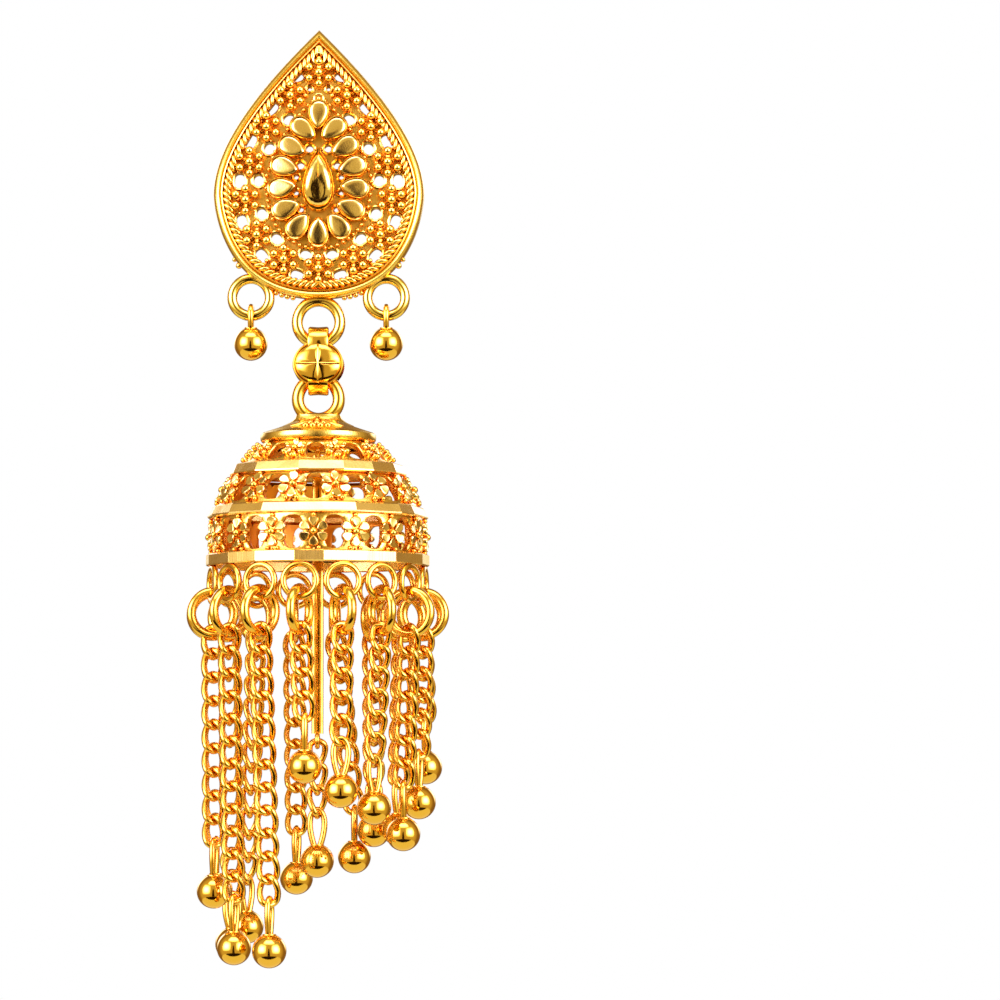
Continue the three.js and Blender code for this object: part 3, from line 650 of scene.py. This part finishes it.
def build_stud():
    dice = random.Random(11)
    stud = Casting()
    outline = stud_outline()
    add_rim(stud, outline)
    add_rope(stud, outline)
    gaps, bevel = stud_gaps(), PLATE["bevel"]
    lower = [inset(outline, PLATE["inset"]), *gaps]
    upper = [inset(outline, PLATE["inset"] + bevel), *(inset(gap, -bevel) for gap in gaps)]
    for shape in pierced_sheet(lower, upper, PLATE["height"], bevel):
        stud.add(on_face(shape), 4)
    for gap in gaps:
        line = inset(gap, -GAP_BORDER["out"])
        path = np.c_[line, np.full(len(line), PLATE["height"])]
        stud.add(on_face(swept(path, GAP_BORDER["wire"], (0, 0, 1), 8)), 0)
    for places, radius in GROUND_RINGS:
        for centre, _, _ in ring_places(**places):
            if min(np.linalg.norm(gap.mean(0) - centre) for gap in gaps) > GROUND_CLEAR:
                stud.add(on_face(moved(granule(radius, 10, 6), *centre, 1.0)), 1)
    for x, z in STUD_FLOWERS:
        for side in (-1, 1) if x else (1,):
            add_flower(stud, np.array((side * x, z)))
    for centre, _, _ in ring_places(**BEAD_RING):
        stud.add(on_face(moved(granule(BEAD_RING_GRANULE, 10, 6), centre[0], centre[1], 1.05)), 1)
    add_petals(stud, dice)
    add_cabochon(stud)
    for z, radius, height, eye, eye_height in TIP_GRANULES:
        stud.add(on_face(moved(granule(radius), 0, z, height)), 1)
        if eye:
            wire = turned(ring(eye, EYE_WIRE, 24, 8), 90, "X")
            stud.add(on_face(moved(wire, 0, z, eye_height)), 1)
    edge = outline[(outline[:, 1] < STUD_WIDEST_AT) & (outline[:, 0] > 0)]
    for side in (-1, 1):
        for x, radius in FOOT_GRANULES:
            z = np.interp(x, edge[:, 0], edge[:, 1])
            stud.add(moved(granule(radius), side * x, HANG_Y, z - 0.1), 1)
        loop = ring(SIDE_RING["radius"], SIDE_RING["wire"])
        stud.add(moved(loop, side * SIDE_RING["x"], HANG_Y, SIDE_RING["z"]), 1)
    loop = ring(MIDDLE_RING["radius"], MIDDLE_RING["wire"])
    stud.add(moved(loop, 0, HANG_Y, MIDDLE_RING["z"]), 1)
    finishes = [cast_gold, granule_gold, petal_gold, cabochon_gold, ground_gold]
    stud.make("stud_gold", finishes, "cast_gold", "stud", "stud")


def build_post():
    post = Casting()
    r, length, groove = POST["radius"], POST["length"], POST["groove"]
    profile = [(0, 0), (r, 0), (r, groove - 0.3), (r - 0.1, groove - 0.1), (r - 0.1, groove + 0.1),
               (r, groove + 0.3), (r, length - 0.25), (r - 0.08, length - 0.08),
               (r - 0.25, length), (0, length)]
    post.add(turned(revolved(profile, even_angles(28)), -90, "X"))
    post.make("post_gold", [polished_gold], "cast_gold", "stud", "ear_post")


# Balls on bails.

def ball_on_bail(crest):
    """A ball with a collared hole in its top, and its wire bail, which stands in the XZ plane."""
    turns = np.linspace(math.pi, math.radians(24), 26)
    profile = [(BALL_RADIUS * math.sin(t), BALL_RADIUS * math.cos(t)) for t in turns]
    profile[0] = (0, -BALL_RADIUS)
    ball = revolved(profile + BALL_COLLAR, even_angles(48))
    top = crest - BAIL["wire"]
    middle, reach = (top + BAIL["foot"]) / 2, (top - BAIL["foot"]) / 2
    angles = even_angles(56) + math.pi / 2
    fall = (1 - np.sin(angles)) / 2
    narrow = 1 - 0.6 * fall ** 1.15
    path = np.stack([BAIL["half"] * np.cos(angles) * narrow, 0 * angles,
                     middle + reach * np.sin(angles)], 1)
    reference = path - (0, 0, middle)
    return ball, swept(path, BAIL["wire"], reference, 12)


def build_drop(node, body, crest, degrees):
    low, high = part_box(node)
    centre = (low + high) / (2 * MM)
    drop = Casting()
    for shape in ball_on_bail(crest):
        drop.add(moved(turned(shape, degrees), centre.x, centre.y, low.z / MM + BALL_RADIUS))
    drop.make(f"{node}_gold", [polished_gold], "bright_gold", body, node)


# Connector.

def boss_height(share):
    """How high the bead's boss stands at a share of the bead's size, from 1 in the middle to 0."""
    return np.sqrt(np.clip(1 - (share / BOSS["share"]) ** 2, 0, 1)) ** BOSS["round"]


def bead_half():
    """The front half of the bead, a round boss of four lobes in a double rim, facing -Y."""
    around, rows = 72, []
    angles = even_angles(around)
    lobes = 1 - BOSS["dip"] * np.exp(-((np.sin(2 * angles) / BOSS["dip_width"]) ** 2))
    wide, high = BEAD["half_wide"], BEAD["half_high"]
    body = BEAD["front"] - BEAD["wall"] - BOSS["up"]
    shares = np.linspace(0.84, 0.06, 12)
    levels = BEAD_RIM + [(s, BOSS["up"] + body * boss_height(s), 1) for s in shares]
    for share, height, lobed in levels:
        lift = height * (1 + lobed * (lobes - 1))
        rows.append(np.stack([share * wide * np.cos(angles), -BEAD["wall"] - lift,
                              share * high * np.sin(angles)], 1))
    spots, faces = lattice(np.array(rows))
    last = len(spots) - around
    faces += [list(range(around)), list(range(last, last + around))]
    return spots, faces


def bead_ribs():
    """Two wires that cross on the front half of the bead, between its lobes."""
    share = np.linspace(-RIB["reach"], RIB["reach"], 25)
    body = BEAD["front"] - BEAD["wall"] - BOSS["up"] - RIB["sunk"]
    y = -BEAD["wall"] - BOSS["up"] - body * boss_height(share)
    upright = np.stack([0 * share, y, share * BEAD["half_high"]], 1)
    level = np.stack([share * BEAD["half_wide"], y, 0 * share], 1)
    return [swept(path, RIB["wire"], (0, -1, 0), 8, closed=False) for path in (upright, level)]


def build_connector():
    connector = Casting()
    half = bead_half()
    for degrees in (0, 180):
        for shape in (half, *bead_ribs()):
            connector.add(moved(turned(shape, degrees), 0, HANG_Y, BEAD["z"]))
    web = stretched(granule(1, 32, 16), **BEAD_WEB)
    connector.add(moved(web, 0, HANG_Y, BEAD["z"] + BEAD_WEB_UP))
    for strap in (TOP_STRAP, FOOT_STRAP):
        inner, outer = strap["inner"], strap["inner"] + STRAP["thick"]
        w = STRAP["half_width"]
        section = [(inner, -w), (inner, w), (inner + 0.1, w + 0.06), (outer - 0.08, w + 0.04),
                   (outer, w - 0.1), (outer - 0.05, 0), (outer, 0.1 - w), (outer - 0.08, -w - 0.04),
                   (inner + 0.1, -w - 0.06)]
        hoop = turned(revolved(section, even_angles(40), closed=True), 90, "Y")
        connector.add(moved(hoop, 0, HANG_Y, strap["z"]))
    connector.make("connector_gold", [polished_gold], "bright_gold", "connector", "connector")


# Dome.

def on_dome(shape, row, degrees, up=0.0, out=0.0):
    """Carries a shape, (across, up, out), to a row of the dome at an angle from the front."""
    spots = shape[0] + (0, up, out)
    tilt = math.radians(row["tilt"])
    bulge = row["bulge"] * np.clip(1 - (spots[:, 1] / row["half"]) ** 2, 0, 1)
    deep = spots[:, 2] + bulge
    radius = row["r"] - spots[:, 1] * math.sin(tilt) + deep * math.cos(tilt)
    z = row["z"] + spots[:, 1] * math.cos(tilt) + deep * math.sin(tilt)
    angle = math.radians(degrees) + spots[:, 0] / row["r"]
    return np.stack([radius * np.sin(angle), HANG_Y - radius * np.cos(angle), z], 1), shape[1]


def wall_bay(row, degrees):
    """The wall between two flowers, with a rounded gap through it: its outer half, and its inner."""
    gap = rounded((0, 0), (1, 0), (0, 1), *row["gap"], 40, 0.7)
    half_width = row["r"] * math.pi / row["count"]
    far = np.minimum(half_width / np.maximum(np.abs(gap[:, 0]), 1e-6),
                     row["half"] / np.maximum(np.abs(gap[:, 1]), 1e-6))
    edge = gap * far[:, None]
    rows = [np.c_[gap + share * (edge - gap), np.full(len(gap), -depth)]
            for share, depth in WALL_SECTION]
    spots, faces = on_dome(lattice(np.array(rows), along=True), row, degrees, out=-WALL_SET_BACK)
    outer = WALL_OUTER_STEPS * len(gap)
    return (spots, faces[:outer]), (spots, faces[outer:])


def add_dome_flower(dome, row, degrees, dice):
    """Six polished petals round a boss, with a granule or a stem towards each band."""
    flat = lofted(drop_outline(*row["petal"], 18), DOME_PETAL)
    for i in range(6):
        petal = leaned(flat, dice.uniform(-0.3, 0.3), dice.uniform(-0.1, 0.3), 0.0)
        petal = turned(moved(petal, 0, row["spread"]), 60 * i)
        dome.add(on_dome(petal, row, degrees), 2)
        if row["tips"]:
            tip = moved(granule(row["tips"], 12, 7), 0, row["spread"] + 0.34, 0.22)
            dome.add(on_dome(turned(tip, 60 * i), row, degrees), 1)
    dome.add(on_dome(granule(row["boss"]), row, degrees, out=0.24), 1)
    if not row["tips"]:
        for x, up in STEMS:
            height = row["half"] - STEM_GRANULE
            spot = moved(granule(STEM_GRANULE, 10, 6), x, up * height, 0.12)
            dome.add(on_dome(spot, row, degrees), 1)


def cut_band(profile, facets, dice):
    """A band cut by hand in flat facets of uneven width."""
    angles = [2 * math.pi * (i + dice.uniform(-BAND_UNEVEN, BAND_UNEVEN)) / facets for i in range(facets)]
    return moved(revolved(profile, angles, closed=True), 0, HANG_Y)


def add_cap_relief(dome, degrees):
    """A small triangle of granules on the cap, between two wires that meet at the ring."""
    for up, count in RELIEF_ROWS.items():
        for i in range(count):
            spot = moved(granule(RELIEF_GRANULE), RELIEF_STEP * (i - (count - 1) / 2), up, 0.04)
            dome.add(on_dome(spot, CAP_SLOPE, degrees), 1)
    along = np.linspace(0, 1, 8)
    for side in (-1, 1):
        path = np.stack([side * (0.1 + 1.9 * along), 1.45 - 2.2 * along, 0 * along + 0.04], 1)
        wire = swept(path, RELIEF_WIRE, (0, 0, 1), 10, closed=False)
        dome.add(on_dome(wire, CAP_SLOPE, degrees), 1)


def build_dome():
    dice = random.Random(5)
    dome = Casting()
    dome.add(moved(revolved(CAP_PROFILE, even_angles(96)), 0, HANG_Y), 0)
    neck = stretched(revolved(NECK_PROFILE, even_angles(48)), y=NECK_DEPTH)
    dome.add(moved(neck, 0, HANG_Y), 0)
    dome.add(moved(ring(DOME_RING["radius"], DOME_RING["wire"]), 0, HANG_Y, DOME_RING["z"]), 1)
    dome.add(moved(ring(CEILING_EYE["radius"], CEILING_EYE["wire"], 32, 10), 0, HANG_Y,
                   CEILING_EYE["z"]), 1)
    for degrees in (0, 180):
        add_cap_relief(dome, degrees)
    for row in ROWS:
        step = 360 / row["count"]
        for i in range(row["count"]):
            # The inner half of each wall takes the gold copy with painted shade.
            for shape, finish in zip(wall_bay(row, step * (i + row["turn"] + 0.5)), (0, 4)):
                dome.add(shape, finish)
            add_dome_flower(dome, row, step * (i + row["turn"]), dice)
    for profile, facets in zip(BANDS, BAND_FACETS):
        dome.add(cut_band(profile, facets, dice), 3, smooth=False)
    for k in range(len(STRANDS)):
        loop = moved(ring(LOOP["radius"], LOOP["wire"], 40, 10), 0, -LOOP["ring"], LOOP["z"])
        dome.add(moved(turned(loop, STRAND_FIRST + STRAND_STEP * k), 0, HANG_Y), 1)
    finishes = [cast_gold, wire_gold, petal_gold, cut_gold, shaded_inner_gold]
    dome.make("dome_gold", finishes, "cast_gold", "drop", "dome")


# Tassel.

def nearest_turn(degrees, wanted):
    """The same link seen from its other side may lie nearer to the wanted angle."""
    return wanted + (degrees - wanted + 90) % 180 - 90


def link_shape(pitch):
    """One link, an oval of wire twisted by a quarter turn from its top to its foot."""
    reach = pitch / 2 + LINK["wire"] - LINK["clearance"]
    angles = even_angles(40) + math.pi / 2
    up = np.sin(angles)
    z = LINK["half"] * up + (reach - LINK["half"]) * np.clip(2 * up, -1, 1)
    twist = -math.pi / 4 * z / reach
    x = LINK["half"] * np.cos(angles)
    path = np.stack([x * np.cos(twist), x * np.sin(twist), z], 1)
    return swept(path, LINK["wire"], path, 10)


def link_run(start, end):
    """How many links fit between two hooks, and at what pitch."""
    length = float(np.linalg.norm(end - start)) - 4 * LINK["wire"]
    count = max(1, round(length / LINK["pitch"]))
    return count, length / count


def build_chain(label, start, end, first_turn, last_turn, dice):
    """Links from a hook's height to the next, each hung in the one above."""
    count, pitch = link_run(start, end)
    shape = link_shape(pitch)
    chain = Casting()
    way = unit(end - start)
    lean = np.array(Vector((0, 0, -1)).rotation_difference(Vector(way)).to_matrix())
    for i in range(count):
        share = (i + 0.5) / count
        sway = dice.uniform(-LINK["sway"], LINK["sway"])
        tilt = dice.uniform(-LINK["tilt"], LINK["tilt"])
        link = turned(shape, first_turn + (last_turn - first_turn) * share + sway)
        link = turned(link, tilt, "X")
        link = (link[0] @ lean.T, link[1])
        middle = start + way * (2 * LINK["wire"] + pitch * (i + 0.5))
        chain.add(moved(link, *middle))
    chain.make(f"chain_{label}_gold", [wire_gold], "cast_gold", "drop", f"chain_{label}")


def hook_turn(ideal, wanted):
    """Turns a link from its ideal angle towards the wanted one, as far as its hook lets it."""
    ideal = nearest_turn(ideal, wanted)
    return wanted + max(0.0, abs(ideal - wanted) - LINK["reach"]) * math.copysign(1, ideal - wanted)


def build_strand(k, dice):
    label = f"{k + 1:02d}"
    turn, bail = STRANDS[k]
    angle = STRAND_FIRST + STRAND_STEP * k
    low, high = (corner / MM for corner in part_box(f"jump_ring_{label}"))
    centre = (low + high) / 2
    jump = Casting()
    shape = turned(ring(JUMP["radius"], JUMP["wire"], 56, 14), angle + 90 + turn)
    jump.add(moved(shape, *centre))
    jump.make(f"jump_ring_{label}_gold", [wire_gold], "cast_gold", "drop", f"jump_ring_{label}")

    node = f"ball_drop_{label}"
    build_drop(node, "drop", BAIL["crest"], bail)
    low, high = (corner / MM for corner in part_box(node))
    ball = (low + high) / 2
    reach = 2 * LINK["wire"] + LINK["slack"]
    foot = centre.z - JUMP["radius"] + JUMP["wire"] + reach
    hook = low.z + BALL_RADIUS + BAIL["crest"] - 2 * BAIL["wire"] - reach
    start = np.array((centre.x, centre.y, foot))
    end = np.array((ball.x, ball.y, hook))
    first = hook_turn(angle + turn + 225, LINKS_FACE)
    last = hook_turn(bail + 45, LINKS_FACE)
    build_chain(label, start, end, first, last, dice)


def build_centre(dice):
    bar = Casting()
    section = rounded((0, 0), (1, 0), (0, 1), BAR["half_wide"], BAR["half_deep"], 28, 0.7)
    heights = np.linspace(BAR["top"], BAR["foot"], 40)
    rows = [[(x, HANG_Y + y, z) for x, y in section] for z in heights]
    spots, faces = lattice(np.array(rows))
    last = len(spots) - len(section)
    faces += [list(range(len(section))), list(range(last, len(spots)))]
    bar.add((spots, faces))
    for z in (BAR_EYES["top"], BAR_EYES["foot"]):
        eye = turned(ring(BAR_EYES["radius"], BAR_EYES["wire"], 28, 10), 90)
        bar.add(moved(eye, 0, HANG_Y, z))
    bar.make("centre_bar_gold", [polished_gold], "cast_gold", "drop", "centre_bar")

    build_drop("centre_ball_drop", "drop", BAIL["crest"], 0)
    low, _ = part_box("centre_ball_drop")
    eye_foot = BAR_EYES["foot"] - BAR_EYES["radius"] + BAR_EYES["wire"]
    hook = low.z / MM + BALL_RADIUS + BAIL["crest"] - 2 * BAIL["wire"]
    reach = 2 * LINK["wire"] + LINK["slack"]
    start = np.array((0, HANG_Y, eye_foot + reach))
    end = np.array((0, HANG_Y, hook - reach))
    count, pitch = link_run(start, end)
    chain = Casting()
    for i in range(count):
        z = start[2] - 2 * LINK["wire"] - pitch * (i + 0.5)
        sway = dice.uniform(-LINK["centre_sway"], LINK["centre_sway"])
        link = turned(link_shape(pitch), LINK["centre_turn"] + sway)
        chain.add(moved(link, 0, HANG_Y, z))
    chain.make("centre_chain_gold", [wire_gold], "cast_gold", "drop", "centre_chain")


# Studio: a pale floor far below, and a world that the metal reflects: two soft lamps in front with
# a dark gap between them, a wide lamp overhead, two dim ones behind, warm walls, and a pale table
# that ends in front. What the camera sees directly, and the light on plain surfaces, is white.

# Each lamp: its azimuth and elevation, its half sizes and the softness of its edge in degrees.
LAMPS = [
    {"az": -50, "az_half": 19, "el": 13, "el_half": 17, "soft": 15, "level": 13.0},
    {"az": 50, "az_half": 19, "el": 13, "el_half": 17, "soft": 15, "level": 13.0},
    {"az": 0, "az_half": 50, "el": 62, "el_half": 12, "soft": 10, "level": 7.0},
    {"az": 152, "az_half": 14, "el": 17, "el_half": 12, "soft": 10, "level": 3.0},
    {"az": -152, "az_half": 14, "el": 17, "el_half": 12, "soft": 10, "level": 3.0},
]
WARMTH = [(0.0, (1.0, 0.5, 0.2)), (0.25, (1.0, 0.66, 0.32)), (0.5, (1.0, 0.84, 0.55)),
          (0.7, (1.0, 0.98, 0.9)), (1.0, (1.0, 1.0, 1.0))]
WARMTH_RANGE = 1.5
LAMP_TINT = (1.0, 0.84, 1.8, 1.0)
LAMP_TINT_RANGE = (1.2, 4.0)
ROOM_LEVEL = 0.74
BACK_WALL_DIM = 0.45
BACK_WALL_FADE = (-0.1, 0.6)
DARK_GAP = {"half": 5.5, "taper": 0.12, "top": (12.0, 22.0), "edge": 2.0}
DARK_LEVEL = 0.02
TABLE_LEVEL = 1.05
TABLE_HORIZON = (-34.5, -31.5)
TABLE_EDGE = 0.625
TABLE_EDGE_FADE = (-0.01, 0.03)


def build_world():
    world = bpy.data.worlds.new("studio")
    bpy.context.scene.world = world
    world.use_nodes = True
    tree = world.node_tree
    tree.nodes.clear()

    def calc(operation, *inputs):
        node = tree.nodes.new("ShaderNodeMath")
        node.operation = operation
        for socket, value in zip(node.inputs, inputs):
            if isinstance(value, (int, float)):
                socket.default_value = value
            else:
                tree.links.new(value, socket)
        return node.outputs[0]

    def ramp(value, low, high):
        node = tree.nodes.new("ShaderNodeMapRange")
        node.interpolation_type = "SMOOTHSTEP"
        node.inputs["From Min"].default_value = low
        node.inputs["From Max"].default_value = high
        tree.links.new(value, node.inputs["Value"])
        return node.outputs["Result"]

    def within(value, middle, half, soft):
        rise = ramp(value, middle - half - soft, middle - half + soft)
        fall = ramp(value, middle + half - soft, middle + half + soft)
        return calc("SUBTRACT", rise, fall)

    def blend(mask, level, goal):
        return calc("ADD", level, calc("MULTIPLY", mask, calc("SUBTRACT", goal, level)))

    split = tree.nodes.new("ShaderNodeSeparateXYZ")
    place = tree.nodes.new("ShaderNodeTexCoord")
    tree.links.new(place.outputs["Generated"], split.inputs[0])
    x, y, z = split.outputs
    azimuth = calc("DEGREES", calc("ARCTAN2", x, calc("MULTIPLY", y, -1.0)))
    elevation = calc("DEGREES", calc("ARCSINE", z))

    # The walls, a little dimmer behind, and the dark gap between the lamps, wider at its foot.
    level = calc("SUBTRACT", ROOM_LEVEL, calc("MULTIPLY", ramp(y, *BACK_WALL_FADE), BACK_WALL_DIM))
    for lamp in LAMPS:
        offset = calc("WRAP", calc("SUBTRACT", azimuth, lamp["az"]), 180.0, -180.0)
        mask = calc("MULTIPLY", within(offset, 0, lamp["az_half"], lamp["soft"]),
                    within(elevation, lamp["el"], lamp["el_half"], lamp["soft"]))
        level = blend(mask, level, lamp["level"])
    reach = calc("ABSOLUTE", azimuth)
    width = calc("SUBTRACT", DARK_GAP["half"], calc("MULTIPLY", elevation, DARK_GAP["taper"]))
    beside = ramp(calc("SUBTRACT", reach, width), -DARK_GAP["edge"], DARK_GAP["edge"])
    above = ramp(elevation, *DARK_GAP["top"])
    gap = calc("MULTIPLY", calc("SUBTRACT", 1.0, beside), calc("SUBTRACT", 1.0, above))
    level = blend(gap, level, DARK_LEVEL)

    # The table, and the dark floor beyond its front edge.
    low = calc("SUBTRACT", 1.0, ramp(elevation, *TABLE_HORIZON))
    level = blend(low, level, TABLE_LEVEL)
    beyond = calc("SUBTRACT", calc("MULTIPLY", z, TABLE_EDGE), y)
    level = blend(calc("MULTIPLY", low, ramp(beyond, *TABLE_EDGE_FADE)), level, DARK_LEVEL)

    rays = tree.nodes.new("ShaderNodeLightPath")
    plain = calc("MAXIMUM", rays.outputs["Is Camera Ray"], rays.outputs["Is Diffuse Ray"])
    level = blend(plain, level, 1.0)
    tone = tree.nodes.new("ShaderNodeValToRGB")
    stops = tone.color_ramp.elements
    while len(stops) < len(WARMTH):
        stops.new(0.5)
    for stop, (position, colour) in zip(stops, WARMTH):
        stop.position = position
        stop.color = (*colour, 1)
    tree.links.new(calc("DIVIDE", level, WARMTH_RANGE), tone.inputs["Fac"])
    cool = add_node(tree, "ShaderNodeMix", data_type="RGBA", blend_type="MULTIPLY")
    cool.inputs[7].default_value = LAMP_TINT
    tree.links.new(ramp(level, *LAMP_TINT_RANGE), cool.inputs[0])
    tree.links.new(tone.outputs["Color"], cool.inputs[6])
    shade = add_node(tree, "ShaderNodeMix", data_type="RGBA")
    shade.inputs[7].default_value = (1, 1, 1, 1)
    tree.links.new(plain, shade.inputs[0])
    tree.links.new(cool.outputs[2], shade.inputs[6])
    background = tree.nodes.new("ShaderNodeBackground")
    tree.links.new(shade.outputs[2], background.inputs["Color"])
    tree.links.new(level, background.inputs["Strength"])
    output = tree.nodes.new("ShaderNodeOutputWorld")
    tree.links.new(background.outputs[0], output.inputs["Surface"])


FLOOR_Z = -0.16
FLOOR_RADIUS = 1.3


def build_floor():
    mesh = bpy.data.meshes.new("floor")
    edge = [(FLOOR_RADIUS * math.cos(a), FLOOR_RADIUS * math.sin(a), FLOOR_Z)
            for a in even_angles(96)]
    mesh.from_pydata(edge, [], [list(range(len(edge)))])
    floor = bpy.data.objects.new("floor", mesh)
    bpy.context.scene.collection.objects.link(floor)
    material = bpy.data.materials.new("floor")
    material.use_nodes = True
    tree = material.node_tree
    shader = tree.nodes["Principled BSDF"]
    shader.inputs["Roughness"].default_value = 0.9
    paper = add_node(tree, "ShaderNodeTexNoise", Scale=60.0)
    tone = add_node(tree, "ShaderNodeValToRGB")
    tone.color_ramp.elements[0].color = (0.93, 0.93, 0.925, 1)
    tone.color_ramp.elements[1].color = (0.96, 0.96, 0.955, 1)
    tree.links.new(paper.outputs["Fac"], tone.inputs["Fac"])
    tree.links.new(tone.outputs["Color"], shader.inputs["Base Color"])
    mesh.materials.append(material)
    floor.visible_glossy = False


CAMERA_AIM = Vector((0.016245, 0, -0.02853))
CAMERA_DISTANCE = 0.391
CAMERA_RISE = -4
CAMERA_LENS = 157.4


def build_camera():
    data = bpy.data.cameras.new("camera")
    data.lens = CAMERA_LENS
    data.sensor_width = 36
    data.clip_start = 0.01
    camera = bpy.data.objects.new("camera", data)
    rise = math.radians(CAMERA_RISE)
    camera.location = CAMERA_AIM + CAMERA_DISTANCE * Vector((0, -math.cos(rise), math.sin(rise)))
    camera.rotation_euler = (CAMERA_AIM - camera.location).to_track_quat("-Z", "Y").to_euler()
    bpy.context.scene.collection.objects.link(camera)
    bpy.context.scene.camera = camera


build_camera()
build_world()
build_floor()
bpy.context.scene.view_settings.view_transform = "Standard"
build_stud()
build_post()
for side_drop in ("side_drop_left", "side_drop_right"):
    build_drop(side_drop, "stud", BAIL["side_crest"], 90)
build_connector()
build_dome()
chance = random.Random(3)
for strand in range(len(STRANDS)):
    build_strand(strand, chance)
build_centre(chance)
